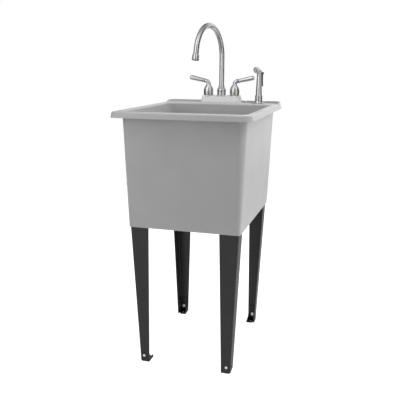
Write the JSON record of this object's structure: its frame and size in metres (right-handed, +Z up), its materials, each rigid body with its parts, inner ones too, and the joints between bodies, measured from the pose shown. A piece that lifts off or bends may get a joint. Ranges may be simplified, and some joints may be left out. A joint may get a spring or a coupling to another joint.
{
  "type": "utility laundry sink",
  "caption": "Free-standing utility laundry sink: deep moulded tub on splayed steel legs, gooseneck faucet with lever handles and a pull-out side spray.",
  "frame": {"origin": "on the floor under the centre of the tub's rim", "axes": "+X to the right seen from the front, +Y towards the wall behind, +Z up"},
  "size_m": [0.451, 0.5904, 1.1465],
  "materials": {
    "tub_plastic": "satin moulded, lightly textured",
    "leg_steel": "satin black powder coat",
    "foot_steel": "satin black",
    "screw_steel": "zinc plated",
    "drain_steel": "brushed",
    "drain_rubber": "matt",
    "drain_plastic": "satin",
    "valve_brass": "as machined",
    "faucet_metal": "satin plated",
    "hot_mark": "gloss",
    "cold_mark": "gloss",
    "spray_plastic": "satin"
  },
  "bodies": {
    "base": {"tub": "tub_plastic", "leg_front_left": "leg_steel", "leg_front_right": "leg_steel", "leg_rear_left": "leg_steel", "leg_rear_right": "leg_steel", "leg_screws_front_left": "screw_steel", "leg_screws_front_right": "screw_steel", "leg_screws_rear_left": "screw_steel", "leg_screws_rear_right": "screw_steel", "drain_strainer": "drain_steel", "drain_gasket": "drain_rubber", "drain_washer": "drain_plastic", "drain_locknut": "drain_plastic", "tailpiece": "drain_plastic", "tailpiece_nut": "drain_plastic", "valve_body": "valve_brass", "hot_cartridge": "valve_brass", "cold_cartridge": "valve_brass", "hot_locknut": "valve_brass", "cold_locknut": "valve_brass", "spout_nut": "faucet_metal", "spray_holder": "faucet_metal", "spray_holder_nut": "drain_plastic"},
    "spout": {"spout": "faucet_metal", "aerator": "faucet_metal"},
    "hot_handle": {"hot_stem": "valve_brass", "hot_handle": "faucet_metal", "hot_index_ring": "hot_mark", "hot_lever": "faucet_metal", "hot_set_screw": "screw_steel"},
    "cold_handle": {"cold_stem": "valve_brass", "cold_handle": "faucet_metal", "cold_index_ring": "cold_mark", "cold_lever": "faucet_metal", "cold_set_screw": "screw_steel"},
    "sprayer": {"spray_wand": "faucet_metal", "spray_hose_nut": "faucet_metal", "spray_face": "spray_plastic", "spray_trigger_pin": "screw_steel"},
    "sprayer_trigger": {"spray_trigger": "faucet_metal"},
    "stopper": {"stopper": "drain_rubber"},
    "foot_front_left": {"foot_front_left": "foot_steel"},
    "foot_front_right": {"foot_front_right": "foot_steel"},
    "foot_rear_left": {"foot_rear_left": "foot_steel"},
    "foot_rear_right": {"foot_rear_right": "foot_steel"}
  },
  "joints": [
    {"name": "spout_swivel", "type": "hinge", "parent": "base", "child": "spout", "pos_m": [0, 0.23805, 0.889], "axis": [0, 0, 1], "continuous": true},
    {"name": "hot_handle_turn", "type": "hinge", "parent": "base", "child": "hot_handle", "pos_m": [-0.0508, 0.23805, 0.889], "axis": [0, 0, 1], "range_deg": [0, 90]},
    {"name": "cold_handle_turn", "type": "hinge", "parent": "base", "child": "cold_handle", "pos_m": [0.0508, 0.23805, 0.889], "axis": [0, 0, -1], "range_deg": [0, 90]},
    {"name": "sprayer_lift", "type": "slide", "parent": "base", "child": "sprayer", "axis": [0, 0, 1], "range_m": [0, 0.15]},
    {"name": "sprayer_trigger_press", "type": "hinge", "parent": "sprayer", "child": "sprayer_trigger", "pos_m": [0.14892, 0.25074, 0.9725], "axis": [-0.9063, 0.4226, 0], "range_deg": [0, 5], "stiffness_Nm_per_rad": 0.4, "springref_deg": -5.73},
    {"name": "stopper_lift", "type": "slide", "parent": "base", "child": "stopper", "axis": [0, 0, 1], "range_m": [0, 0.12]},
    {"name": "level_front_left", "type": "slide", "parent": "base", "child": "foot_front_left", "axis": [0.0465, 0.0252, -0.9986], "range_m": [0, 0.022]},
    {"name": "level_front_right", "type": "slide", "parent": "base", "child": "foot_front_right", "axis": [-0.0465, 0.0252, -0.9986], "range_m": [0, 0.022]},
    {"name": "level_rear_left", "type": "slide", "parent": "base", "child": "foot_rear_left", "axis": [0.0465, -0.0252, -0.9986], "range_m": [0, 0.022]},
    {"name": "level_rear_right", "type": "slide", "parent": "base", "child": "foot_rear_right", "axis": [-0.0465, -0.0252, -0.9986], "range_m": [0, 0.022]}
  ]
}
